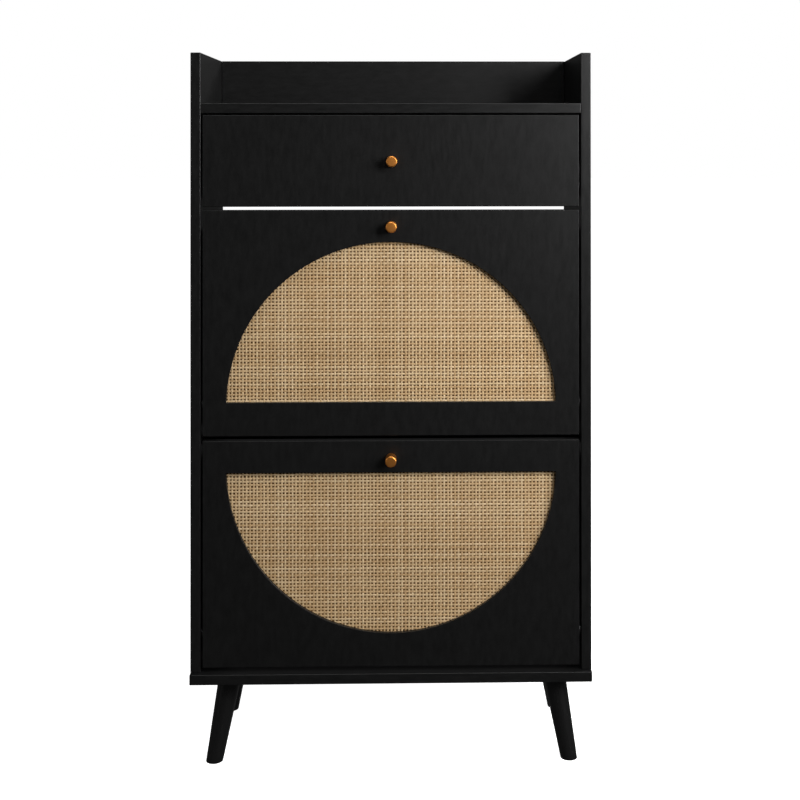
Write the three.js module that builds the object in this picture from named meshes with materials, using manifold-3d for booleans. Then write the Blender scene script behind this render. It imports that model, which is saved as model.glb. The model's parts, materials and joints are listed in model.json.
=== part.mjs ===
// A shoe cabinet on four splayed legs: one drawer above two flip-down doors with woven half-moon windows.
// Millimetres, +Z up, front towards -Y.
// The origin is on the floor, in the middle of the overall width and depth.
import * as THREE from "three";
import { mergeVertices } from "three/addons/utils/BufferGeometryUtils.js";
import Module from "manifold-3d";

const wasm = await Module();
wasm.setup();

// Case
const width = 600;
const sideDepth = 231;
const board = 15; // thickness of the panels and fronts
const baseLip = 9; // how far the base panel stands out in front of the fronts
const legHeight = 125; // floor to the underside of the base panel
const galleryHeight = 76; // side panels above the top shelf
const railHeight = 65;
const backApron = 65; // gallery back below the top shelf
const shelfSetback = 30; // middle shelf behind the backs of the doors
const shelfDrop = 7; // middle shelf below the upper door

// Fronts and the gaps round them
const doorHeight = 338;
const drawerFrontHeight = 137.5;
const sideGap = 3;
const doorGap = 7; // under each door
const drawerGap = 5; // under the drawer front
const topGap = 2.5; // over the drawer front

// Half-moon windows and what fills them
const windowRadius = 247;
const windowHeight = 240;
const windowTopInset = 50;
const rebateWidth = 12;
const rebateDepth = 5;
const webbingThickness = 1.5;
const backingThickness = 3;

// Knobs
const knobReach = 22;
const knobRadius = 8.5;
const knobChamfer = 1.3;
const knobDrop = { upper: 24, lower: 26.5 }; // below the top edge of its door
const screwRadius = 2;
const screwHeadRadius = 4;
const screwHeadHeight = 2.5;
const screwGrip = 8; // thread inside the knob

// Legs
const footInset = 33; // centre of a foot from the side of the base panel
const footInsetDeep = 30; // and from its front or rear edge
const splay = 19.5; // foot beyond the top of its leg, outward and forward or back
const legTopRadius = 17;
const footRadius = 12.4;
const legPlateSize = 56;
const legPlateThickness = 3;
const plateHoleInset = 8;
const plateHoleRadius = 2.5;

// Drawer and its ball-bearing slides
const slideSpace = 12.5; // between a side panel and the drawer box
const slideLength = 200;
const drawerTravel = 150;
const slideSetback = 2; // behind the back of the drawer front
const slideHeight = 35;
const slideWall = 1.2;
const cageWall = 0.8;
const cageLength = 100;
const drawerBoard = 12;
const drawerBoxHeight = 95;
const drawerBottom = 3;
const drawerLift = 10; // underside of the box above the lower edge of the front
const rearClearance = 4;

// Flip racks, in the frame of their door: y from its front face, z from its lower edge
const pivotBehindDoor = 7;
const pivotHeight = 45;
const pinRadius = 3;
const pinRootRadius = 4;
const pinRootLength = 10;
const collarRadius = 7;
const collarLength = 3;
const stopRadius = 70; // stop pin from the pivot
const stopAngle = 70; // degrees above the horizontal
const openAngle = 45;
const rackGap = 6; // side panel to rack plate
const rackPlate = 4;
const rackLow = 12;
const rackDrop = 32; // top of a rack below the top edge of its door
const sweepClearance = 6; // rack to the shelf over it, as it tips
const flangeWidth = 17;
const flangeThickness = 3;
const trayBoard = 6;
const trayLean = 14; // degrees from upright when closed
const traySpacing = 90;
const frontTraySetback = 15; // top of the front sole board behind the door
const frontTrayDrop = 47; // and below the top edge of the door
const frontTrayFoot = 57;
const rearTrayFoot = 127;

// Clearances
const seam = 0.1; // between pieces that touch
const turnedSeam = 0.3; // between pieces that touch in a leaning frame
const running = 0.06; // radius of a pivot hole over its pin
const loose = 0.6; // round a pin in its slot, and between slide members

// Worked-out places
const frontPlane = (knobReach - sideDepth) / 2;
const halfWidth = width / 2;
const halfInner = halfWidth - board;
const halfFront = halfInner - sideGap;
const baseTop = legHeight + board;
const lowerDoorFoot = baseTop + doorGap;
const upperDoorFoot = lowerDoorFoot + doorHeight + doorGap;
const middleShelfTop = upperDoorFoot - shelfDrop;
const drawerFoot = upperDoorFoot + doorHeight + drawerGap;
const topShelfUnder = drawerFoot + drawerFrontHeight + topGap;
const topShelfTop = topShelfUnder + board;
const sideTop = topShelfTop + galleryHeight;
const railFront = sideDepth - board;
const pivot = [board + pivotBehindDoor, pivotHeight];
const sweepRadius = doorHeight + doorGap - shelfDrop - board - pivotHeight - sweepClearance;
const rackRear = railFront - rearClearance;
const rackOuter = halfInner - rackGap;
const rackHigh = doorHeight - rackDrop;
const rackInner = rackOuter - rackPlate;
const slideFront = board + slideSetback;
const radians = THREE.MathUtils.degToRad;

const finishes = {
  laminate: { color: 0x1b1917, roughness: 0.45, metalness: 0 },
  blackWood: { color: 0x171514, roughness: 0.35, metalness: 0 },
  webbing: { color: 0xb8905a, roughness: 0.7, metalness: 0 },
  hardboard: { color: 0x6a4a26, roughness: 0.8, metalness: 0 },
  brushedGold: { color: 0xc29468, roughness: 0.3, metalness: 1 },
  zincSteel: { color: 0xb4b6b8, roughness: 0.35, metalness: 1 },
  blackSteel: { color: 0x1c1c1d, roughness: 0.4, metalness: 0.6 },
  blackPlastic: { color: 0x161616, roughness: 0.5, metalness: 0 },
};

// A closed geometry as a solid that can be joined and cut.
function toSolid(geometry) {
  const bare = geometry.clone();
  bare.deleteAttribute("normal");
  bare.deleteAttribute("uv");
  const merged = mergeVertices(bare, 1e-4);
  const vertProperties = merged.attributes.position.array;
  const triVerts = new Uint32Array(merged.index.array);
  return new wasm.Manifold(new wasm.Mesh({ numProp: 3, vertProperties, triVerts }));
}

function toGeometry(solid) {
  const { numProp, vertProperties, triVerts } = solid.getMesh();
  const positions = new Float32Array((vertProperties.length / numProp) * 3);
  for (let i = 0; i < positions.length / 3; i++)
    positions.set(vertProperties.subarray(i * numProp, i * numProp + 3), i * 3);
  const geometry = new THREE.BufferGeometry();
  geometry.setAttribute("position", new THREE.BufferAttribute(positions, 3));
  geometry.setIndex(new THREE.BufferAttribute(triVerts, 1));
  geometry.computeVertexNormals();
  return geometry;
}

const cut = (geometry, ...tools) =>
  toGeometry(tools.reduce((solid, tool) => solid.subtract(toSolid(tool)), toSolid(geometry)));

const join = (first, second) => toGeometry(toSolid(first).add(toSolid(second)));

function piece(name, finish, geometry) {
  const mesh = new THREE.Mesh(geometry, new THREE.MeshStandardMaterial(finish));
  mesh.name = name;
  return mesh;
}

// A flat board between two corners, placed by its centre.
function panel(name, finish, low, high) {
  const size = high.map((value, i) => value - low[i]);
  const mesh = piece(name, finish, new THREE.BoxGeometry(...size));
  mesh.position.set(...high.map((value, i) => (value + low[i]) / 2));
  return mesh;
}

// An outline drawn as x and z, made thickness deep along +Y from y.
function upright(shape, y, thickness) {
  const settings = { depth: thickness, bevelEnabled: false, curveSegments: 36 };
  return new THREE.ExtrudeGeometry(shape, settings).rotateX(Math.PI / 2).translate(0, y + thickness, 0);
}

// An outline drawn as y and z, made thickness deep along +X from x.
function crosswise(shape, x, thickness) {
  const settings = { depth: thickness, bevelEnabled: false, curveSegments: 12 };
  const turn = new THREE.Matrix4().makeBasis(
    new THREE.Vector3(0, 1, 0), new THREE.Vector3(0, 0, 1), new THREE.Vector3(1, 0, 0));
  return new THREE.ExtrudeGeometry(shape, settings).applyMatrix4(turn).translate(x, 0, 0);
}

// A round piece about the Y axis, from [radius, y] pairs in order of y.
const turned = (profile, segments = 20) =>
  new THREE.LatheGeometry(profile.map(([r, y]) => new THREE.Vector2(r, y)), segments);

// A plain rod along an axis between two places on it.
function rod(axis, radius, from, to, centre) {
  const geometry = turned([[0, from], [radius, from], [radius, to], [0, to]]);
  if (axis === "x") geometry.rotateZ(-Math.PI / 2);
  if (axis === "z") geometry.rotateX(Math.PI / 2);
  return geometry.translate(...centre);
}

function group(x, y, z, ...members) {
  const made = new THREE.Group();
  made.position.set(x, y, z);
  made.add(...members);
  return made;
}

const sides = [["left", -1], ["right", 1]];
const stopPlace = [
  pivot[0] + stopRadius * Math.cos(radians(stopAngle)),
  pivot[1] + stopRadius * Math.sin(radians(stopAngle)),
];

// Bores in a side panel's inner face for the pivot and stop pins of both doors.
function pinBores(side) {
  const ends = [side * (halfInner - 1), side * (halfInner + pinRootLength + seam)];
  const [from, to] = ends.sort((first, second) => first - second);
  return [lowerDoorFoot, upperDoorFoot].flatMap((foot) =>
    [pivot, stopPlace].map(([y, z]) => rod("x", pinRootRadius + running, from, to, [0, y, z + foot])));
}

function sidePanel(name, side) {
  const low = side < 0 ? -halfWidth : halfInner;
  const size = [board, sideDepth, sideTop - baseTop - seam];
  const slab = new THREE.BoxGeometry(...size)
    .translate(low + board / 2, sideDepth / 2, sideTop - size[2] / 2);
  return piece(name, finishes.laminate, cut(slab, ...pinBores(side)));
}

// Boards between the two side panels.
const between = (name, y0, y1, z0, z1) =>
  panel(name, finishes.laminate, [seam - halfInner, y0, z0], [halfInner - seam, y1, z1]);

// A rail across the open back, level with the middle of a door.
function rearRail(name, doorFoot) {
  const low = doorFoot + (doorHeight - railHeight) / 2;
  return between(name, railFront, sideDepth, low, low + railHeight);
}

function caseBoards() {
  const baseLow = [-halfWidth, -baseLip, legHeight];
  return [
    panel("base_panel", finishes.laminate, baseLow, [halfWidth, sideDepth, baseTop]),
    ...sides.map(([name, side]) => sidePanel(`side_panel_${name}`, side)),
    between("middle_shelf", board + shelfSetback, sideDepth, middleShelfTop - board, middleShelfTop),
    between("top_shelf", 0, railFront - seam, topShelfUnder, topShelfTop),
    between("gallery_back", railFront, sideDepth, topShelfUnder - backApron, sideTop),
    rearRail("lower_rear_rail", lowerDoorFoot),
    rearRail("upper_rear_rail", upperDoorFoot),
  ];
}

function legPlate(name, x, y) {
  const z = legHeight - seam - legPlateThickness / 2;
  const reach = legPlateSize / 2 - plateHoleInset;
  const slab = new THREE.BoxGeometry(legPlateSize, legPlateSize, legPlateThickness);
  const holes = [[-1, -1], [1, -1], [1, 1], [-1, 1]].map(([i, j]) =>
    rod("z", plateHoleRadius, -legPlateThickness, legPlateThickness, [i * reach, j * reach, 0]));
  const mesh = piece(name, finishes.blackSteel, cut(slab, ...holes));
  mesh.position.set(x, y, z);
  return mesh;
}

// A tapered round leg that leans outward, cut level where it meets its plate and the floor.
function leg(name, foot, top) {
  const height = legHeight - legPlateThickness - 2 * seam;
  const low = new THREE.Vector3(...foot, 0);
  const high = new THREE.Vector3(...top, height);
  const length = low.distanceTo(high);
  const over = 0.1; // share of the length added at each end before the level cuts
  const flare = (legTopRadius - footRadius) * over;
  const cone = new THREE.CylinderGeometry(
    legTopRadius + flare, footRadius - flare, length * (1 + 2 * over), 40);
  const lean = new THREE.Quaternion().setFromUnitVectors(
    new THREE.Vector3(0, 1, 0), high.clone().sub(low).normalize());
  cone.applyQuaternion(lean).translate(...low.clone().add(high).multiplyScalar(0.5));
  const slab = new THREE.BoxGeometry(width, width, height)
    .translate(low.x, low.y, height / 2);
  return piece(name, finishes.blackWood, toGeometry(toSolid(cone).intersect(toSolid(slab))));
}

function legs() {
  const rows = [["front", footInsetDeep - baseLip, 1], ["rear", sideDepth - footInsetDeep, -1]];
  return rows.flatMap(([row, y, inward]) =>
    sides.flatMap(([name, side]) => {
      const foot = [side * (halfWidth - footInset), y];
      const top = [foot[0] - side * splay, y + inward * splay];
      return [leg(`leg_${row}_${name}`, foot, top), legPlate(`leg_plate_${row}_${name}`, ...top)];
    }));
}

// A pin along X with a collar against the side panel and its root inside it.
function flipPin(name, side, [y, z], foot) {
  const tip = rackInner + loose;
  const face = halfInner - seam;
  const profile = [
    [0, tip], [pinRadius, tip], [pinRadius, face - collarLength], [collarRadius, face - collarLength],
    [collarRadius, face], [pinRootRadius, face], [pinRootRadius, halfInner + pinRootLength - seam],
    [0, halfInner + pinRootLength - seam],
  ];
  const mesh = piece(name, finishes.zincSteel, turned(profile).rotateZ(-Math.PI / 2));
  mesh.rotation.z = side < 0 ? Math.PI : 0;
  mesh.position.set(0, y, z + foot);
  return mesh;
}

const flipPins = () =>
  [["lower", lowerDoorFoot], ["upper", upperDoorFoot]].flatMap(([door, foot]) =>
    sides.flatMap(([name, side]) => [
      flipPin(`${door}_pivot_pin_${name}`, side, pivot, foot),
      flipPin(`${door}_stop_pin_${name}`, side, stopPlace, foot),
    ]));

// A channel of folded strip along Y: its web stands at webX and its flanges reach to tipX.
function channel(name, side, webX, tipX, height, wall, y, length) {
  const inner = webX + Math.sign(tipX - webX) * wall;
  const half = height / 2;
  const outline = [
    [webX, -half], [webX, half], [tipX, half], [tipX, half - wall],
    [inner, half - wall], [inner, wall - half], [tipX, wall - half], [tipX, -half],
  ].map(([x, z]) => new THREE.Vector2(side * x, z));
  return piece(name, finishes.zincSteel, upright(new THREE.Shape(outline), y, length));
}

// One slide has three nested channels: case member, ball cage and drawer member.
function slideMembers(side, name) {
  const boxFace = halfInner - slideSpace;
  const caseWeb = halfInner - seam;
  const cageWeb = caseWeb - slideWall - loose / 2;
  const drawerTip = cageWeb - cageWall - loose;
  const cageHeight = slideHeight - 2 * slideWall - loose;
  const drawerHeight = cageHeight - 2 * cageWall - loose;
  const drawerWeb = boxFace + seam;
  const flangeTip = drawerWeb + slideWall + loose;
  const boxRear = railFront - rearClearance;
  const members = {
    outer: channel(`slide_outer_${name}`, side, caseWeb, flangeTip, slideHeight, slideWall,
      slideFront, slideLength),
    cage: channel(`slide_cage_${name}`, side, cageWeb, flangeTip, cageHeight, cageWall,
      slideFront + drawerTravel / 2, cageLength),
    inner: channel(`slide_inner_${name}`, side, drawerWeb, drawerTip, drawerHeight, slideWall,
      slideFront, boxRear - slideFront),
  };
  const z = drawerFoot + drawerLift + slideHeight;
  Object.values(members).forEach((member) => member.position.setZ(z));
  return members;
}

// A straight round knob with a chamfered face, bored for its screw, standing in front of y = 0.
function knob(name, z) {
  const bore = screwRadius + seam;
  const profile = [
    [0, -knobReach], [knobRadius - knobChamfer, -knobReach], [knobRadius, -knobReach + knobChamfer],
    [knobRadius, -seam], [bore, -seam], [bore, -screwGrip - 1], [0, -screwGrip - 1],
  ];
  const mesh = piece(name, finishes.brushedGold, turned(profile, 28));
  mesh.position.z = z;
  return mesh;
}

function knobScrew(name, z) {
  const face = board + seam;
  const profile = [
    [0, -screwGrip], [screwRadius, -screwGrip], [screwRadius, face], [screwHeadRadius, face],
    [screwHeadRadius, face + screwHeadHeight / 2], [0.75 * screwHeadRadius, face + screwHeadHeight],
    [0, face + screwHeadHeight],
  ];
  const mesh = piece(name, finishes.zincSteel, turned(profile));
  mesh.position.z = z;
  return mesh;
}

const knobHole = (z) => rod("y", screwRadius + 2 * seam, -1, board + 1, [0, 0, z]);

const frontSlab = (height) =>
  new THREE.BoxGeometry(2 * halfFront, board, height).translate(0, board / 2, height / 2);

function drawerBox() {
  const outer = halfInner - slideSpace;
  const inner = outer - drawerBoard;
  const rear = railFront - rearClearance;
  const low = drawerLift + drawerBottom;
  const high = low + drawerBoxHeight;
  const face = board + seam;
  const { laminate, hardboard } = finishes;
  return [
    panel("drawer_side_left", laminate, [-outer, face, low], [-inner, rear, high]),
    panel("drawer_side_right", laminate, [inner, face, low], [outer, rear, high]),
    panel("drawer_back", laminate, [seam - inner, rear - drawerBoard, low], [inner - seam, rear, high]),
    panel("drawer_bottom", hardboard, [-outer, face, drawerLift], [outer, rear, low - seam]),
  ];
}

function drawer() {
  const middle = drawerFrontHeight / 2;
  return group(0, 0, drawerFoot,
    piece("drawer_front", finishes.laminate, cut(frontSlab(drawerFrontHeight), knobHole(middle))),
    knob("drawer_knob", middle),
    knobScrew("drawer_knob_screw", middle),
    ...drawerBox());
}

// The half-moon outline in the frame of its door, grown outward by grow; dome is 1 for up and -1 for down.
function halfMoon(dome, grow) {
  const rise = windowRadius - windowHeight;
  const radius = windowRadius + grow;
  const start = Math.asin((rise - grow) / radius);
  const top = doorHeight - windowTopInset;
  const centre = dome > 0 ? top - windowRadius : top + rise;
  const turn = dome > 0 ? 0 : Math.PI;
  return new THREE.Shape().absarc(0, centre, radius, turn + start, turn + Math.PI - start, false);
}

function doorPanel(name, dome, knobZ) {
  const window = upright(halfMoon(dome, 0), -1, board + 2);
  const rebate = upright(halfMoon(dome, rebateWidth), board - rebateDepth, rebateDepth + 1);
  return piece(name, finishes.laminate, cut(frontSlab(doorHeight), window, rebate, knobHole(knobZ)));
}

function windowFill(door, dome) {
  const outline = halfMoon(dome, rebateWidth - loose);
  const webbingFace = board - rebateDepth + seam;
  const backingFace = webbingFace + webbingThickness + seam;
  return [
    piece(`${door}_webbing`, finishes.webbing, upright(outline, webbingFace, webbingThickness)),
    piece(`${door}_backing`, finishes.hardboard, upright(outline, backingFace, backingThickness)),
  ];
}

// Curved slot that carries the stop pin while the rack tips.
function stopSlot() {
  const reach = pinRadius + loose;
  const [high, low] = [radians(stopAngle), radians(stopAngle - openAngle)];
  const end = (angle) => [pivot[0] + stopRadius * Math.cos(angle), pivot[1] + stopRadius * Math.sin(angle)];
  return new THREE.Path()
    .absarc(...pivot, stopRadius + reach, low, high, false)
    .absarc(...end(high), reach, high, high + Math.PI, false)
    .absarc(...pivot, stopRadius - reach, high, low, true)
    .absarc(...end(low), reach, low + Math.PI, low + 2 * Math.PI, false);
}

// Side plate of a rack: its upper rear edge is an arc about the pivot, so it tips clear of the shelf over it.
function rackSide(name, side) {
  const front = board + seam;
  const rearAngle = Math.acos((rackRear - pivot[0]) / sweepRadius);
  const highAngle = Math.asin((rackHigh - pivot[1]) / sweepRadius);
  const outline = new THREE.Shape()
    .moveTo(front, rackLow)
    .lineTo(front + 40, rackLow)
    .lineTo(rackRear, rackLow + 80)
    .absarc(...pivot, sweepRadius, rearAngle, highAngle, false)
    .lineTo(front, rackHigh);
  outline.holes.push(stopSlot());
  const low = side < 0 ? -rackOuter : rackInner;
  const flangeLow = side < 0 ? -rackOuter : rackOuter - flangeWidth;
  const flange = new THREE.BoxGeometry(flangeWidth, flangeThickness, rackHigh - rackLow)
    .translate(flangeLow + flangeWidth / 2, front + flangeThickness / 2, (rackHigh + rackLow) / 2);
  const pivotHole = rod("x", pinRadius + running, low - 1, low + rackPlate + 1, [0, ...pivot]);
  const plate = cut(crosswise(outline, low, rackPlate), pivotHole);
  return piece(name, finishes.blackPlastic, join(plate, flange));
}

// A leaning sole board with a toe board square to it, in a frame whose origin is their inner corner.
function tray(name, y, z, soleLength, toeLength) {
  const half = rackInner - seam;
  const sole = [[-half, -trayBoard, -trayBoard], [half, 0, soleLength]];
  const toe = [[-half, turnedSeam, -trayBoard], [half, toeLength, 0]];
  const made = group(0, y, z,
    panel(`${name}_sole_board`, finishes.laminate, ...sole),
    panel(`${name}_toe_board`, finishes.laminate, ...toe));
  made.rotation.x = radians(trayLean);
  return made;
}

function trays(door) {
  const lean = radians(trayLean);
  const topY = board + frontTraySetback;
  const topZ = doorHeight - frontTrayDrop;
  const footY = topY + (topZ - frontTrayFoot) * Math.tan(lean);
  const across = new THREE.Vector2(Math.cos(lean), Math.sin(lean));
  const along = new THREE.Vector2(-across.y, across.x);
  // The rear tray's line starts level with the front one's corner and stops short of the sweep.
  const line = new THREE.Vector2(footY, frontTrayFoot).addScaledVector(across, traySpacing);
  const rise = (rearTrayFoot - line.y) / along.y;
  const corner = line.clone().addScaledVector(along, rise);
  const fromPivot = corner.clone().sub(new THREE.Vector2(...pivot));
  const ahead = fromPivot.dot(along);
  const reach = sweepRadius - 2 * trayBoard;
  const rearSole = Math.sqrt(ahead ** 2 - fromPivot.lengthSq() + reach ** 2) - ahead;
  const rearToe = (rackRear - trayBoard * across.y - corner.x) / across.x - 2 * turnedSeam;
  const frontSole = (topZ - frontTrayFoot) / across.x;
  return [
    tray(`${door}_front`, footY, frontTrayFoot, frontSole, traySpacing - trayBoard),
    tray(`${door}_rear`, corner.x, corner.y, rearSole, rearToe),
  ];
}

function flip(door, foot, dome) {
  const knobZ = doorHeight - knobDrop[door];
  return group(0, 0, foot,
    doorPanel(`${door}_door`, dome, knobZ),
    ...windowFill(door, dome),
    knob(`${door}_door_knob`, knobZ),
    knobScrew(`${door}_door_knob_screw`, knobZ),
    ...sides.map(([name, side]) => rackSide(`${door}_rack_side_${name}`, side)),
    ...trays(door));
}

const slides = sides.map(([name, side]) => slideMembers(side, name));
const members = (kind) => slides.map((slide) => slide[kind]);

const cabinet = group(0, frontPlane, 0,
  group(0, 0, 0, ...caseBoards(), ...legs(), ...flipPins(), ...members("outer")),
  group(0, 0, 0, ...members("cage")),
  drawer(),
  group(0, 0, 0, ...members("inner")),
  flip("upper", upperDoorFoot, 1),
  flip("lower", lowerDoorFoot, -1));

export default cabinet;
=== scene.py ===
import json
import math
import random

import bmesh
import bpy
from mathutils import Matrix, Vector


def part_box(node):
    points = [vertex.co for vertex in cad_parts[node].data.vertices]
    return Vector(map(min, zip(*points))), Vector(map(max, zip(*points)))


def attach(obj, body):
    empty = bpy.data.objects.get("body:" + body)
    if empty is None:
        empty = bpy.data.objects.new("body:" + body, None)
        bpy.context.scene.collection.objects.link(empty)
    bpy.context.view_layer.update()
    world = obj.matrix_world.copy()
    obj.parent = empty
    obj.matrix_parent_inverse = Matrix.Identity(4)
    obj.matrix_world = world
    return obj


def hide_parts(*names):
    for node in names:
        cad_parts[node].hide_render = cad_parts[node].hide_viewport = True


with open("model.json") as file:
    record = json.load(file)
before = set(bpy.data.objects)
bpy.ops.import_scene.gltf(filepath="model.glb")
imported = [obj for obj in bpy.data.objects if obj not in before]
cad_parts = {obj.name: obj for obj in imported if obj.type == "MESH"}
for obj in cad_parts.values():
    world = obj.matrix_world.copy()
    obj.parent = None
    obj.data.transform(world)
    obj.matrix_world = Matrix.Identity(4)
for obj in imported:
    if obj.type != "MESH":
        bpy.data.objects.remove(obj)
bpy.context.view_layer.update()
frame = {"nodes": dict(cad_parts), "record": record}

print("shoe cabinet: frame loaded")

millimetre = 0.001
bodyOf = {node: body for body, nodes in frame["record"]["behaviour"]["bodies"].items() for node in nodes}
slotOf = {part["node"]: part["material_slot"] for part in frame["record"]["subparts"]}


# A shader socket that can be used in Python arithmetic: each operation adds a Math node.
class Wire:
    def __init__(self, tree, socket):
        self.tree = tree
        self.socket = socket

    def math(self, operation, first, second):
        node = self.tree.nodes.new("ShaderNodeMath")
        node.operation = operation
        plug(self.tree, node.inputs[0], first)
        plug(self.tree, node.inputs[1], second)
        return Wire(self.tree, node.outputs[0])

    def __add__(self, other):
        return self.math("ADD", self, other)

    def __sub__(self, other):
        return self.math("SUBTRACT", self, other)

    def __rsub__(self, other):
        return self.math("SUBTRACT", other, self)

    def __mul__(self, other):
        return self.math("MULTIPLY", self, other)

    def __truediv__(self, other):
        return self.math("DIVIDE", self, other)

    def __rtruediv__(self, other):
        return self.math("DIVIDE", other, self)

    __radd__ = __add__
    __rmul__ = __mul__


def plug(tree, socket, value):
    if isinstance(value, Wire):
        tree.links.new(value.socket, socket)
    else:
        socket.default_value = value


# A material with one Principled shader. add() makes any other node: settings first, then its sockets.
class Finish:
    def __init__(self, name, **constants):
        self.material = bpy.data.materials.new(name)
        self.material.use_nodes = True
        self.tree = self.material.node_tree
        self.shader = self.tree.nodes["Principled BSDF"]
        for key, value in constants.items():
            self.shader.inputs[key.replace("_", " ")].default_value = value
        self.place = self.add("ShaderNodeTexCoord", output="Object")

    def add(self, kind, settings=None, sockets=None, output=0):
        node = self.tree.nodes.new(kind)
        for key, value in (settings or {}).items():
            if key == "stops":
                setStops(node.color_ramp, value)
            else:
                setattr(node, key, value)
        for key, value in (sockets or {}).items():
            plug(self.tree, node.inputs[key], value)
        return Wire(self.tree, node.outputs[output])

    def scaled(self, scale):
        return self.add("ShaderNodeVectorMath", {"operation": "MULTIPLY"}, {0: self.place, 1: scale})

    # scale is in marks per metre along each axis.
    def noise(self, scale, detail=2.0, roughness=0.5):
        sockets = {"Vector": self.scaled(scale), "Scale": 1.0, "Detail": detail, "Roughness": roughness}
        return self.add("ShaderNodeTexNoise", None, sockets)

    def ramp(self, value, stops):
        return self.add("ShaderNodeValToRGB", {"stops": stops}, {0: value})

    def blend(self, factor, first, second):
        return self.add("ShaderNodeMix", {"data_type": "RGBA"}, {0: factor, 6: first, 7: second}, 2)

    # The value's place between low and high, held to 0 and 1.
    def clamped(self, value, low, high):
        return self.add("ShaderNodeMapRange", None, {"Value": value, "From Min": low, "From Max": high})

    def axis(self, name):
        return self.add("ShaderNodeSeparateXYZ", None, {0: self.place}, name)

    def feed(self, **links):
        for key, value in links.items():
            plug(self.tree, self.shader.inputs[key.replace("_", " ")], value)

    def bump(self, height, distance, strength):
        sockets = {"Height": height, "Distance": distance, "Strength": strength}
        return self.add("ShaderNodeBump", None, sockets)


def setStops(ramp, stops):
    while len(ramp.elements) < len(stops):
        ramp.elements.new(1.0)
    for element, (position, colour) in zip(ramp.elements, stops):
        element.position = position
        element.color = (*colour, 1.0)


def grey(value):
    return value, value, value, 1.0


laminate = {
    "dark": 0.0036,
    "light": 0.0072,
    "across": 170.0,  # grain marks per metre, across the grain and along it
    "along": 42.0,
    "fine": 5.2,  # how much finer the pores are than the grain marks
    "faceRoughness": 0.39,
    "faceGloss": 0.24,
    "bandRoughness": 0.31,  # smoother strip glued on the front edges of the boards
    "bandGloss": 0.42,
    "grainDepth": 0.03 * millimetre,
}


# Black laminate pressed with a fine wood grain that runs along one axis, for a "face" or a "band".
def laminateFinish(name, grain, area):
    roughness, gloss = laminate[area + "Roughness"], laminate[area + "Gloss"]
    finish = Finish(name, IOR=1.45, Specular_IOR_Level=gloss)
    scale = [laminate["across"]] * 3
    scale["xyz".index(grain)] = laminate["along"]
    marks = finish.noise(scale, 3.0, 0.65)
    pores = finish.noise([laminate["fine"] * s for s in scale], 2.0)
    tone = finish.clamped(marks * 0.6 + pores * 0.4, 0.34, 0.66)
    colour = finish.blend(tone, grey(laminate["dark"]), grey(laminate["light"]))
    finish.feed(Base_Color=colour, Roughness=roughness - 0.05 + marks * 0.10,
                Normal=finish.bump(pores + marks * 0.6, laminate["grainDepth"], 0.5))
    return finish.material


lacquer = {"dark": 0.0036, "light": 0.0064, "roughness": 0.22, "grainDepth": 0.03 * millimetre}


def lacquerFinish():
    finish = Finish("blackLacquer", IOR=1.5, Specular_IOR_Level=0.5)
    grain = finish.noise((420.0, 420.0, 16.0), 3.0)
    peel = finish.noise((900.0, 900.0, 900.0), 1.0)
    colour = finish.blend(grain, grey(lacquer["dark"]), grey(lacquer["light"]))
    finish.feed(Base_Color=colour, Roughness=lacquer["roughness"] + grain * 0.08,
                Normal=finish.bump(grain + peel * 0.3, lacquer["grainDepth"], 0.5))
    return finish.material


cane = {
    "pitchX": 5.3 * millimetre,
    "pitchZ": 5.03 * millimetre,
    "width": {"z": 2.50 * millimetre, "x": 2.75 * millimetre},  # of the upright and the level strands
    "thickness": 0.62 * millimetre,
    "forward": 3.5 * millimetre,  # from the CAD's webbing towards the front face
    "lift": 2.2 * millimetre,  # the windows sit this much higher than in the CAD
    "swing": 0.30 * millimetre,  # how far a strand bows to pass over and under
    "stepsPerPitch": 3,
    "wander": 0.22 * millimetre,
    "waves": 95.0,  # of a wandering strand, in radians per metre
    "widths": (0.92, 1.06),  # narrowest and widest strand, as a share of the width
    "sharpAngle": 50,
    "seeds": {"down": 11, "across": 23},
    "trim": 0.4 * millimetre,  # strands end this far inside the webbing's outline
    "markLength": 34.0,  # growth marks per metre along a strand
    "fibreLength": 130.0,  # fibres per metre along a strand, and across it
    "fibreWidth": 5200.0,
    "fibreDepth": 0.05 * millimetre,
    "lap": 11.4 * millimetre,  # webbing hidden behind the door round its window
    "colours": [(0.0, (0.32, 0.175, 0.068)), (0.3, (0.47, 0.305, 0.148)), (0.7, (0.57, 0.41, 0.232)),
                (1.0, (0.69, 0.55, 0.37))],
}


# Split cane: each strand has its own tone, with darker growth marks and fine fibres along it.
def caneFinish(name, across, along, pitch):
    finish = Finish(name, Specular_IOR_Level=0.35)
    strand = finish.add("ShaderNodeMath", {"operation": "ROUND"}, {0: finish.axis(across) / pitch})
    tone = finish.add("ShaderNodeTexWhiteNoise", {"noise_dimensions": "1D"}, {"W": strand})
    scale = [0.0, 0.0, 0.0]
    scale["XYZ".index(across)], scale["XYZ".index(along)] = 1.0 / pitch, cane["markLength"]
    marks = finish.noise(scale, 2.0, 0.6)
    scale["XYZ".index(across)], scale["XYZ".index(along)] = cane["fibreWidth"], cane["fibreLength"]
    fibres = finish.noise(scale)
    shade = finish.clamped(tone * 0.40 + marks * 0.50 + fibres * 0.35, 0.22, 1.05)
    finish.feed(Base_Color=finish.ramp(shade, cane["colours"]), Roughness=0.62 - fibres * 0.14,
                Normal=finish.bump(fibres, cane["fibreDepth"], 0.6))
    return finish.material


hardboard = {
    "dark": (0.105, 0.045, 0.010, 1.0),
    "light": (0.190, 0.086, 0.021, 1.0),
    "depth": 0.1 * millimetre,
}


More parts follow.
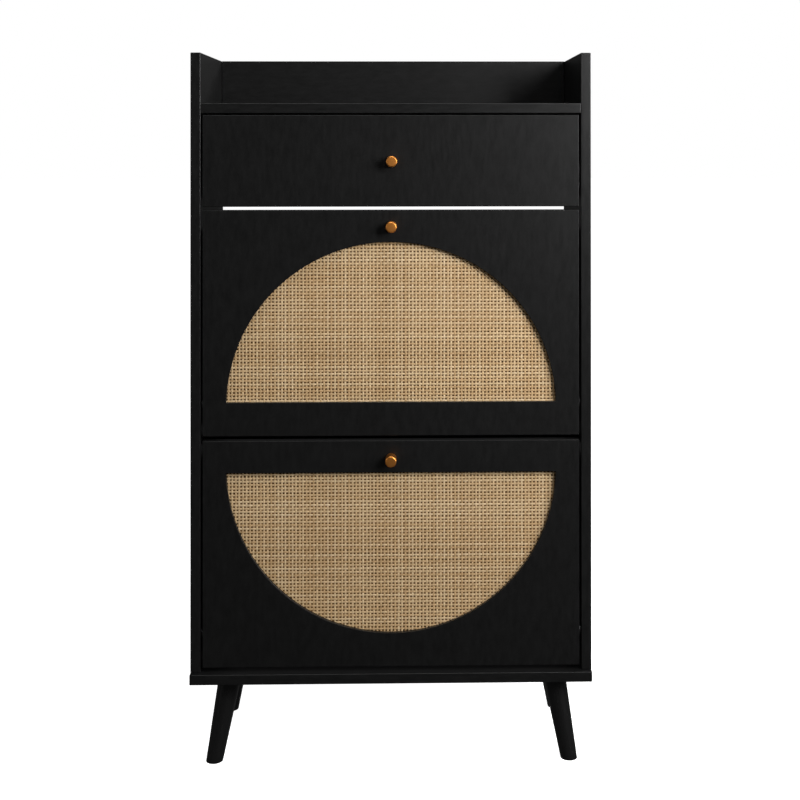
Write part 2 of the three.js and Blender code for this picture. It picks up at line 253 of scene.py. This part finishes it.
def hardboardFinish():
    finish = Finish("brownHardboard", Specular_IOR_Level=0.25)
    fibres = finish.noise((900.0, 900.0, 260.0), 4.0, 0.65)
    blotches = finish.noise((40.0, 40.0, 40.0), 2.0)
    tone = finish.clamped(fibres * 0.7 + blotches * 0.3, 0.35, 0.65)
    finish.feed(Base_Color=finish.blend(tone, hardboard["dark"], hardboard["light"]),
                Roughness=0.68 + fibres * 0.15, Normal=finish.bump(fibres, hardboard["depth"], 0.5))
    return finish.material


gold = {"colour": (0.70, 0.285, 0.066, 1.0), "worn": (0.56, 0.210, 0.042, 1.0), "roughness": 0.34}


# Turned metal with fine rings from the brush on its face.
def goldFinish():
    finish = Finish("brushedGold", Metallic=1.0)
    brush = finish.noise((2600.0, 300.0, 500.0), 3.0, 0.6)
    stain = finish.noise((160.0, 160.0, 160.0), 2.0)
    finish.feed(Base_Color=finish.blend(stain, gold["colour"], gold["worn"]),
                Roughness=gold["roughness"] + brush * 0.16, Normal=finish.bump(brush, 0.03 * millimetre, 0.5))
    return finish.material


zinc = {"dark": (0.30, 0.30, 0.31, 1.0), "light": (0.46, 0.46, 0.47, 1.0), "metallic": 1.0}
blackSteel = {"dark": (0.010, 0.010, 0.011, 1.0), "light": (0.018, 0.018, 0.019, 1.0), "metallic": 0.0}
steelRoughness = 0.38


# Plated or painted steel with a faint spangle.
def steelFinish(name, tones):
    finish = Finish(name, Metallic=tones["metallic"])
    spread = finish.scaled((420.0, 420.0, 420.0))
    spangle = finish.add("ShaderNodeTexVoronoi", None, {"Vector": spread, "Scale": 1.0})
    drawn = finish.noise((700.0, 40.0, 700.0), 2.0)
    tone = finish.clamped(spangle * 0.5 + drawn * 0.5, 0.2, 0.8)
    finish.feed(Base_Color=finish.blend(tone, tones["dark"], tones["light"]),
                Roughness=steelRoughness + tone * 0.12, Normal=finish.bump(drawn, 0.03 * millimetre, 0.4))
    return finish.material


plastic = {"dark": 0.006, "light": 0.011}


def plasticFinish():
    finish = Finish("mouldedPlastic", Specular_IOR_Level=0.45)
    spark = finish.noise((2200.0, 2200.0, 2200.0), 1.0)
    flow = finish.noise((25.0, 25.0, 25.0), 2.0)
    finish.feed(Base_Color=finish.blend(flow, grey(plastic["dark"]), grey(plastic["light"])),
                Roughness=0.44 + spark * 0.14, Normal=finish.bump(spark, 0.05 * millimetre, 0.5))
    return finish.material


finishes = {
    "upright": laminateFinish("blackLaminateUpright", "z", "face"),
    "level": laminateFinish("blackLaminateLevel", "x", "face"),
    "deep": laminateFinish("blackLaminateDeep", "y", "face"),
    "uprightBand": laminateFinish("blackBandUpright", "z", "band"),
    "levelBand": laminateFinish("blackBandLevel", "x", "band"),
    "black_wood": lacquerFinish(),
    "caneDown": caneFinish("caneDown", "X", "Z", cane["pitchX"]),
    "caneAcross": caneFinish("caneAcross", "Z", "X", cane["pitchZ"]),
    "brown_hardboard": hardboardFinish(),
    "brushed_gold": goldFinish(),
    "zinc_steel": steelFinish("zincSteel", zinc),
    "black_steel": steelFinish("blackSteel", blackSteel),
    "black_plastic": plasticFinish(),
}
print("finishes made")


def linked(name, mesh, material):
    piece = bpy.data.objects.new(name, mesh)
    bpy.context.scene.collection.objects.link(piece)
    mesh.materials.append(material)
    mesh.shade_smooth()
    return piece


# Edges over sharpAngle degrees stay sharp; without it, large flat faces keep their flat shading.
def fromBmesh(name, shape, material, sharpAngle=None):
    bmesh.ops.recalc_face_normals(shape, faces=shape.faces)
    mesh = bpy.data.meshes.new(name)
    shape.to_mesh(mesh)
    shape.free()
    piece = linked(name, mesh, material)
    if sharpAngle:
        mesh.set_sharp_from_angle(angle=math.radians(sharpAngle))
    else:
        piece.modifiers.new("flatFaces", "WEIGHTED_NORMAL")
    return piece


# The piece stands for one CAD node: it rides on that node's body, and the CAD node is hidden.
def standFor(piece, node):
    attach(piece, bodyOf[node])
    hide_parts(node)
    return piece


# A small piece that the CAD doesn't have.
def detail(piece, body, slot):
    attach(piece, body)


def camel(node):
    first, *rest = node.split("_")
    return first + "".join(word.capitalize() for word in rest)


boards = {
    "edge": 0.9 * millimetre,  # rounding of a laminated edge
    "segments": 3,
    "upright": ["side_panel_left", "side_panel_right"],
    "level": ["base_panel", "middle_shelf", "top_shelf", "gallery_back", "lower_rear_rail", "upper_rear_rail",
              "drawer_back"],
    "deep": ["drawer_side_left", "drawer_side_right"],
    "banded": ["side_panel_left", "side_panel_right", "base_panel", "top_shelf"],
    "bandNormal": -0.6,  # faces that look further forward than this take the edge band
}


def roundedBoard(node, grain):
    low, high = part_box(node)
    shape = bmesh.new()
    bmesh.ops.create_cube(shape, size=1.0)
    for vertex in shape.verts:
        share = vertex.co + Vector((0.5, 0.5, 0.5))
        vertex.co = [a + (b - a) * s for a, b, s in zip(low, high, share)]
    bmesh.ops.bevel(shape, geom=shape.edges[:], offset=boards["edge"], segments=boards["segments"],
                    profile=0.5, affect="EDGES")
    board = standFor(fromBmesh(camel(node), shape, finishes[grain]), node)
    if node in boards["banded"]:
        board.data.materials.append(finishes[grain + "Band"])
        for face in board.data.polygons:
            face.material_index = 1 if face.normal.y < boards["bandNormal"] else 0


for grain in ("upright", "level", "deep"):
    for node in boards[grain]:
        roundedBoard(node, grain)
print("boards made")


# Rings of points joined by walls, and flat faces filled between rings.
class Shell:
    def __init__(self):
        self.shape = bmesh.new()

    def ring(self, points):
        verts = [self.shape.verts.new(point) for point in points]
        for a, b in zip(verts, verts[1:] + verts[:1]):
            self.shape.edges.new((a, b))
        return verts

    def wall(self, first, second):
        count = len(first)
        for i in range(count):
            j = (i + 1) % count
            self.shape.faces.new((first[i], first[j], second[j], second[i]))

    def walls(self, rings):
        for first, second in zip(rings, rings[1:]):
            self.wall(first, second)

    def fill(self, *rings):
        edges = [self.shape.edges.get((a, b)) for ring in rings for a, b in zip(ring, ring[1:] + ring[:1])]
        bmesh.ops.triangle_fill(self.shape, use_beauty=True, use_dissolve=False, edges=edges)


halfMoon = {"arcSteps": 120, "flatSteps": 24, "edge": 0.7 * millimetre, "edgeSteps": 4}


# Window of one door, worked out from its webbing. dome is 1 with the arc on top and -1 with it below.
class Window:
    def __init__(self, door, dome):
        low, high = (corner + Vector((0, 0, cane["lift"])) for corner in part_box(f"{door}_webbing"))
        self.dome = dome
        self.radius = high.x - cane["lap"]
        self.centre = (high.z - high.x) if dome > 0 else (low.z + high.x)
        flat = low.z if dome > 0 else high.z
        self.rise = (flat - self.centre) * dome + cane["lap"]  # from the centre to the straight edge
        self.webbingLow, self.webbingHigh = low, high
        self.middleY = (low.y + high.y) / 2 - cane["forward"]

    def outline(self, grow, y):
        radius = self.radius + grow
        start = math.asin((self.rise - grow) / radius)
        points = []
        for i in range(halfMoon["arcSteps"]):
            angle = start + (math.pi - 2 * start) * i / halfMoon["arcSteps"]
            points.append((radius * math.cos(angle), radius * math.sin(angle)))
        end = radius * math.cos(start)
        for i in range(halfMoon["flatSteps"]):
            points.append((-end + 2 * end * i / halfMoon["flatSteps"], self.rise - grow))
        return [Vector((x, y, self.centre + self.dome * z)) for x, z in points]

    # Lowest and highest point of an upright strand at x.
    def rangeAt(self, x):
        reach = math.sqrt(max(self.webbingHigh.x ** 2 - x * x, 0.0))
        low = max(self.centre - reach, self.webbingLow.z)
        return low, min(self.centre + reach, self.webbingHigh.z)

    # Both ends of a level strand at height z.
    def endsAt(self, z):
        reach = math.sqrt(max(self.webbingHigh.x ** 2 - (z - self.centre) ** 2, 0.0))
        return -reach, reach


fronts = {"edge": 1.1 * millimetre, "corner": 0.4 * millimetre, "cornerSteps": 3, "play": 0.6 * millimetre,
          "seat": 0.1 * millimetre}


# Outline of a front, drawn in by inset, with a small corner.
def frontOutline(low, high, inset, y):
    points = []
    corner, steps = fronts["corner"], fronts["cornerSteps"]
    for cx, cz, turn in ((1, 1, 0), (-1, 1, 1), (-1, -1, 2), (1, -1, 3)):
        x = (high.x if cx > 0 else low.x) - cx * (inset + corner)
        z = (high.z if cz > 0 else low.z) - cz * (inset + corner)
        for i in range(steps + 1):
            angle = math.pi / 2 * (turn + i / steps)
            points.append(Vector((x + corner * math.cos(angle), y, z + corner * math.sin(angle))))
    return points


# Steps of a rounded edge: how far the outline is drawn in, and how deep the step lies.
def roundSteps(edge, steps):
    angles = [math.pi / 2 * i / steps for i in range(steps + 1)]
    return [(edge * (1 - math.sin(a)), edge * (1 - math.cos(a))) for a in angles]


# Outer walls of a front with rounded edges; returns its first and last ring.
def frontWalls(shell, low, high):
    steps = roundSteps(fronts["edge"], halfMoon["edgeSteps"])
    front = [shell.ring(frontOutline(low, high, inset, low.y + deep)) for inset, deep in steps]
    back = [shell.ring(frontOutline(low, high, inset, high.y - deep)) for inset, deep in reversed(steps)]
    shell.walls(front + back)
    return front[0], back[-1]


# A door with its window cut through and a wider rebate behind it, for the webbing and its backing.
def doorBoard(node, window):
    low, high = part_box(node)
    rebate = window.webbingLow.y - fronts["seat"] - cane["forward"]
    lap = cane["lap"] + cane["lift"] + fronts["play"]
    shell = Shell()
    front, back = frontWalls(shell, low, high)
    steps = roundSteps(halfMoon["edge"], halfMoon["edgeSteps"])
    inner = [shell.ring(window.outline(inset, low.y + deep)) for inset, deep in steps]
    behind = ((0.0, rebate), (lap, rebate), (lap, high.y))
    inner += [shell.ring(window.outline(grow, y)) for grow, y in behind]
    shell.walls(inner)
    shell.fill(front, inner[0])
    shell.fill(back, inner[-1])
    standFor(fromBmesh(camel(node), shell.shape, finishes["upright"]), node)


def drawerFront(node):
    shell = Shell()
    for ring in frontWalls(shell, *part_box(node)):
        shell.shape.faces.new(ring)
    standFor(fromBmesh(camel(node), shell.shape, finishes["upright"]), node)


# One strand: a thin lens-shaped ribbon along a list of centre points. side is the direction across it.
def strand(verts, faces, points, side, width, thickness):
    first = len(verts)
    front = Vector((0, -0.5 * thickness, 0))
    for point in points:
        verts += [point - side * width / 2, point + front, point + side * width / 2, point - front]
    for i in range(len(points) - 1):
        a = first + 4 * i
        for k in range(4):
            m = (k + 1) % 4
            faces.append((a + k, a + m, a + 4 + m, a + 4 + k))
    last = first + 4 * (len(points) - 1)
    faces.append((first, first + 3, first + 2, first + 1))
    faces.append((last, last + 1, last + 2, last + 3))


# All strands that run one way through a window. crossing is the pitch of the strands they cross.
def strands(window, name, along, pitch, crossing, seed):
    rng = random.Random(seed)
    verts, faces = [], []
    upright = along == "z"
    side = Vector((1, 0, 0)) if upright else Vector((0, 0, 1))
    lowest, highest = (window.webbingLow.x, window.webbingHigh.x) if upright else (
        window.webbingLow.z, window.webbingHigh.z)
    step = crossing / cane["stepsPerPitch"]
    for index in range(math.ceil(lowest / pitch), math.floor(highest / pitch) + 1):
        across = index * pitch
        start, end = window.rangeAt(across) if upright else window.endsAt(across)
        start, end = start + cane["trim"], end - cane["trim"]
        if across - lowest < pitch / 2 or highest - across < pitch / 2 or end - start < 3 * crossing:
            continue
        width = cane["width"][along] * rng.uniform(*cane["widths"])
        lean = rng.uniform(-1, 1) * cane["wander"]
        drift = rng.uniform(0, 2 * math.pi)
        sign = (1 if index % 2 else -1) * (1 if upright else -1)
        points = []
        for i in range(math.ceil(start / step), math.floor(end / step) + 1):
            place = i * step
            bow = sign * cane["swing"] * math.cos(math.pi * place / crossing)
            offset = across + lean + 0.5 * cane["wander"] * math.sin(place * cane["waves"] + drift)
            x, z = (offset, place) if upright else (place, offset)
            points.append(Vector((x, window.middleY + bow, z)))
        strand(verts, faces, points, side, width, cane["thickness"])
    mesh = bpy.data.meshes.new(name)
    mesh.from_pydata(verts, [], faces)
    piece = linked(name, mesh, finishes["caneDown" if upright else "caneAcross"])
    mesh.set_sharp_from_angle(angle=math.radians(cane["sharpAngle"]))
    return piece


for number, (door, dome) in enumerate((("upper", 1), ("lower", -1))):
    window = Window(door, dome)
    doorBoard(f"{door}_door", window)
    ways = (("down", "z", "pitchX", "pitchZ"), ("across", "x", "pitchZ", "pitchX"))
    for way, along, pitch, crossing in ways:
        name = f"{door}Cane{way.capitalize()}"
        seed = cane["seeds"][way] + number
        standFor(strands(window, name, along, cane[pitch], cane[crossing], seed), f"{door}_webbing")
drawerFront("drawer_front")
print("fronts and cane made")


# A round piece about an axis, from (radius, place) pairs. The first and last pair lie on the axis.
def turned(name, profile, origin, axis, material, steps=64, sharpAngle=35):
    shape = bmesh.new()
    rings = []
    for radius, place in profile:
        count = steps if radius > 0 else 1
        ring = []
        for i in range(count):
            angle = 2 * math.pi * i / steps
            a, b = radius * math.cos(angle), radius * math.sin(angle)
            local = {"x": (place, a, b), "y": (a, place, b), "z": (a, b, place)}[axis]
            ring.append(shape.verts.new(Vector(local) + Vector(origin)))
        rings.append(ring)
    for first, second in zip(rings, rings[1:]):
        for i in range(steps):
            j = (i + 1) % steps
            if len(first) == 1:
                shape.faces.new((first[0], second[i], second[j]))
            elif len(second) == 1:
                shape.faces.new((first[i], first[j], second[0]))
            else:
                shape.faces.new((first[i], first[j], second[j], second[i]))
    return fromBmesh(name, shape, material, sharpAngle)


# A profile whose corners are softened: a corner's third value is how far from it the curve starts.
def softened(corners, steps=4):
    points = [corners[0]]
    for before, corner, after in zip(corners, corners[1:], corners[2:]):
        at, reach = Vector(corner[:2]), corner[2] if len(corner) > 2 else 0.0
        if not reach:
            points.append(corner[:2])
            continue
        start = at + (Vector(before[:2]) - at).normalized() * reach
        end = at + (Vector(after[:2]) - at).normalized() * reach
        for i in range(steps + 1):
            t = i / steps
            points.append(tuple(start * (1 - t) ** 2 + at * 2 * t * (1 - t) + end * t ** 2))
    points.append(corners[-1])
    return points


knobShape = {
    "chamfer": 1.3 * millimetre,  # round the face, and how deep it is as a share of that
    "chamferDepth": 0.8,
    "soft": 0.35 * millimetre,
    "back": 0.5 * millimetre,  # smaller chamfer at the door
    "backSoft": 0.2 * millimetre,
    "slim": 0.3 * millimetre,  # off the radius of the CAD's knob
    "steps": 72,
}
# Each knob's offset from its CAD place, to the right and up, in millimetres.
knobOffset = {"drawer_knob": (0.9, -0.9), "upper_door_knob": (0.3, -0.5), "lower_door_knob": (-0.4, -0.4)}


# A straight turned knob with a chamfered face.
def knob(node):
    low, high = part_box(node)
    radius = (high.x - low.x) / 2 - knobShape["slim"]
    right, up = (offset * millimetre for offset in knobOffset[node])
    origin = ((high.x + low.x) / 2 + right, 0, (high.z + low.z) / 2 + up)
    cut, soft, back = knobShape["chamfer"], knobShape["soft"], knobShape["back"]
    shoulder = low.y + knobShape["chamferDepth"] * cut
    corners = [(0, low.y), (radius - cut, low.y, soft), (radius, shoulder, soft),
               (radius, high.y - back, knobShape["backSoft"]), (radius - back, high.y), (0, high.y)]
    gilt = finishes["brushed_gold"]
    standFor(turned(camel(node), softened(corners), origin, "y", gilt, knobShape["steps"]), node)


for node in knobOffset:
    knob(node)
print("knobs made")


legs = {
    "rings": 14,
    "round": 72,
    "footRound": 0.4 * millimetre,
    "glideShare": 0.62,  # glide's radius as a share of the foot's
    "glideDepth": 0.8 * millimetre,
    "glideGap": 0.2 * millimetre,
    "glideSoft": 0.25 * millimetre,
    "level": 0.01 * millimetre,  # points this close to an end of the leg belong to it
}


# A tapered, leaning leg, level at both ends, with a plastic glide let in flush under its foot.
def leg(row, side):
    node = f"leg_{row}_{side}"
    verts = [v.co for v in frame["nodes"][node].data.vertices]
    low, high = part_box(node)
    floorRing = [v for v in verts if v.z < low.z + legs["level"]]
    topRing = [v for v in verts if v.z > high.z - legs["level"]]
    foot = sum(floorRing, Vector()) / len(floorRing)
    top = sum(topRing, Vector()) / len(topRing)
    lean = Vector((top.x - foot.x, top.y - foot.y, 0))
    along = lean.normalized()
    beside = Vector((-along.y, along.x, 0))
    stretch = 1 / math.cos(math.atan(lean.length / (top.z - foot.z)))
    footRadius = max(abs((v - foot).dot(beside)) for v in floorRing)
    topRadius = max(abs((v - top).dot(beside)) for v in topRing)
    angles = [2 * math.pi * i / legs["round"] for i in range(legs["round"])]
    shell = Shell()

    # Level cut through the leaning cone, an oval drawn in by shrink.
    def section(z, shrink):
        share = (z - foot.z) / (top.z - foot.z)
        centre = foot.lerp(top, share)
        radius = footRadius + (topRadius - footRadius) * share - shrink
        long, wide = along * radius * stretch, beside * radius
        return [centre + long * math.cos(a) + wide * math.sin(a) for a in angles]

    def disc(z, radius):
        return [Vector((foot.x + radius * math.cos(a), foot.y + radius * math.sin(a), z)) for a in angles]

    radius = footRadius * legs["glideShare"]
    depth = legs["glideDepth"]
    steps = [(low.z + deep, inset) for inset, deep in roundSteps(legs["footRound"], 3)]
    rest = low.z + legs["footRound"]
    steps += [(rest + (high.z - rest) * i / legs["rings"], 0.0) for i in range(1, legs["rings"] + 1)]
    socket = [shell.ring(disc(z, radius)) for z in (low.z + depth, low.z)]
    rings = [shell.ring(section(z, inset)) for z, inset in steps]
    shell.walls(socket)
    shell.walls(rings)
    shell.shape.faces.new(socket[0])
    shell.fill(socket[-1], rings[0])
    shell.shape.faces.new(rings[-1])
    standFor(fromBmesh(camel(node), shell.shape, finishes["black_wood"], 40), node)
    inner = radius - legs["glideGap"]
    upper = low.z + depth
    profile = softened([(0, low.z), (inner, low.z, legs["glideSoft"]), (inner, upper), (0, upper)])
    glide = turned(camel(f"glide_{row}_{side}"), profile, (foot.x, foot.y, 0), "z", finishes["black_plastic"])
    detail(glide, "carcass", "black_plastic")


legPlaces = [(row, side) for row in ("front", "rear") for side in ("left", "right")]
for row, side in legPlaces:
    leg(row, side)
print("legs made")


plateScrew = {
    "reach": 0.357,  # from the middle of the plate, as a share of its width
    "radius": 3.4 * millimetre,
    "slot": 0.9 * millimetre,
    "head": 1.6 * millimetre,  # height of the head, and how deep its recess is left open
    "recess": 0.6 * millimetre,
    "shoulder": 1.5 * millimetre,
    "rim": 0.9 * millimetre,
    "steps": 24,
}


# Four pan-head screws under each leg plate.
def plateScrews(row, side):
    low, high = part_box(f"leg_plate_{row}_{side}")
    middle = (low + high) / 2
    reach = (high.x - low.x) * plateScrew["reach"]
    radius, slot = plateScrew["radius"], plateScrew["slot"]
    recess, head, shoulder, rim = (low.z - plateScrew[key] for key in ("recess", "head", "shoulder", "rim"))
    profile = [(0, recess), (slot, recess), (slot, head), (0.6 * radius, shoulder), (0.9 * radius, rim),
               (radius, low.z), (0, low.z)]
    for number, (i, j) in enumerate(((-1, -1), (1, -1), (1, 1), (-1, 1))):
        origin = (middle.x + i * reach, middle.y + j * reach, 0)
        name = camel(f"plate_screw_{row}_{side}_{number}")
        screw = turned(name, profile, origin, "z", finishes["zinc_steel"], plateScrew["steps"])
        detail(screw, "carcass", "zinc_steel")


for row, side in legPlaces:
    plateScrews(row, side)
print("plate screws made")


trayBoards = {
    "edge": 0.7 * millimetre,
    "weld": 0.01 * millimetre,  # CAD points this close are one point
    "flat": 1,  # degrees within which neighbouring faces are one face
    "sharp": 40,  # edges over this many degrees are softened
}


# Thin boards of the racks keep their CAD shape, with softened edges.
def softenedCopy(node, material):
    source = frame["nodes"][node].data
    shape = bmesh.new()
    shape.from_mesh(source)
    bmesh.ops.remove_doubles(shape, verts=shape.verts, dist=trayBoards["weld"])
    flat, corner = math.radians(trayBoards["flat"]), math.radians(trayBoards["sharp"])
    bmesh.ops.dissolve_limit(shape, angle_limit=flat, verts=shape.verts, edges=shape.edges)
    sharp = [e for e in shape.edges if len(e.link_faces) == 2 and e.calc_face_angle(0) > corner]
    bmesh.ops.bevel(shape, geom=sharp, offset=trayBoards["edge"], segments=2, profile=0.5, affect="EDGES")
    standFor(fromBmesh(camel(node), shape, material), node)


for door in ("upper", "lower"):
    for tray in ("front", "rear"):
        for part in ("sole", "toe"):
            softenedCopy(f"{door}_{tray}_{part}_board", finishes["level"])
print("tray boards made")


# CAD nodes whose shape is right keep it and take a finish.
for name, node in frame["nodes"].items():
    node.data.materials.clear()
    node.data.materials.append(finishes.get(slotOf[name], finishes["level"]))


# A pale floor that glows by itself, so that it stays white and adds no light to the cabinet.
def stage():
    bpy.ops.mesh.primitive_plane_add(size=60.0, location=(0, 0, 0))
    floor = bpy.context.object
    floor.name = "floor"
    finish = Finish("paleFloor", Base_Color=(0.9, 0.9, 0.9, 1.0), Roughness=1.0, Specular_IOR_Level=0.0,
                    Emission_Color=(1.0, 1.0, 1.0, 1.0), Emission_Strength=1.0)
    floor.data.materials.append(finish.material)
    floor.visible_diffuse = False
    floor.visible_glossy = False


# Each light: place, size, power in watts.
studio = {
    "key": ((1.0, -1.35, 1.29), (0.45, 0.75), 26.0),
    "side": ((2.0, -1.25, 1.30), (0.50, 1.10), 35.0),
    "overhead": ((0.0, -0.90, 2.70), (1.80, 1.00), 24.0),
    "left": ((-2.2, -1.10, 1.10), (0.20, 1.40), 6.0),
    "behind": ((1.20, 2.40, 2.30), (1.20, 0.80), 18.0),
}
surroundLight = 0.06
aim = Vector((0.0, -0.1, 0.6))  # every light looks here


def softbox(name, place, size, power):
    light = bpy.data.lights.new(name, "AREA")
    light.shape = "RECTANGLE"
    light.size, light.size_y = size
    light.energy = power
    lamp = bpy.data.objects.new(name, light)
    lamp.location = place
    lamp.rotation_euler = (aim - Vector(place)).to_track_quat("-Z", "Y").to_euler()
    bpy.context.scene.collection.objects.link(lamp)


# White behind the object for the camera, and a dim even surround as light.
def surround():
    world = bpy.data.worlds.new("studio")
    bpy.context.scene.world = world
    world.use_nodes = True
    tree = world.node_tree
    seen = tree.nodes["Background"]
    seen.inputs["Color"].default_value = (1.0, 1.0, 1.0, 1.0)
    light = tree.nodes.new("ShaderNodeBackground")
    light.inputs["Color"].default_value = (1.0, 1.0, 1.0, 1.0)
    light.inputs["Strength"].default_value = surroundLight
    rays = tree.nodes.new("ShaderNodeLightPath")
    choose = tree.nodes.new("ShaderNodeMixShader")
    tree.links.new(rays.outputs["Is Camera Ray"], choose.inputs[0])
    tree.links.new(light.outputs[0], choose.inputs[1])
    tree.links.new(seen.outputs[0], choose.inputs[2])
    tree.links.new(choose.outputs[0], tree.nodes["World Output"].inputs["Surface"])


view = {
    "place": (0.0369, -2.0645, 0.9337),
    "turn": (90.217, 0.0355, -1.160),  # degrees
    "lens": 58.82,
    "shift": (-0.0529, -0.3302),
}


def camera():
    data = bpy.data.cameras.new("camera")
    data.lens = view["lens"]
    data.sensor_width = 36.0
    data.shift_x, data.shift_y = view["shift"]
    lookout = bpy.data.objects.new("camera", data)
    lookout.location = view["place"]
    lookout.rotation_euler = [math.radians(a) for a in view["turn"]]
    bpy.context.scene.collection.objects.link(lookout)
    bpy.context.scene.camera = lookout


stage()
for name, (place, size, power) in studio.items():
    softbox(name, place, size, power)
surround()
camera()
bpy.context.scene.view_settings.view_transform = "Standard"
print("stage, lights and camera set")
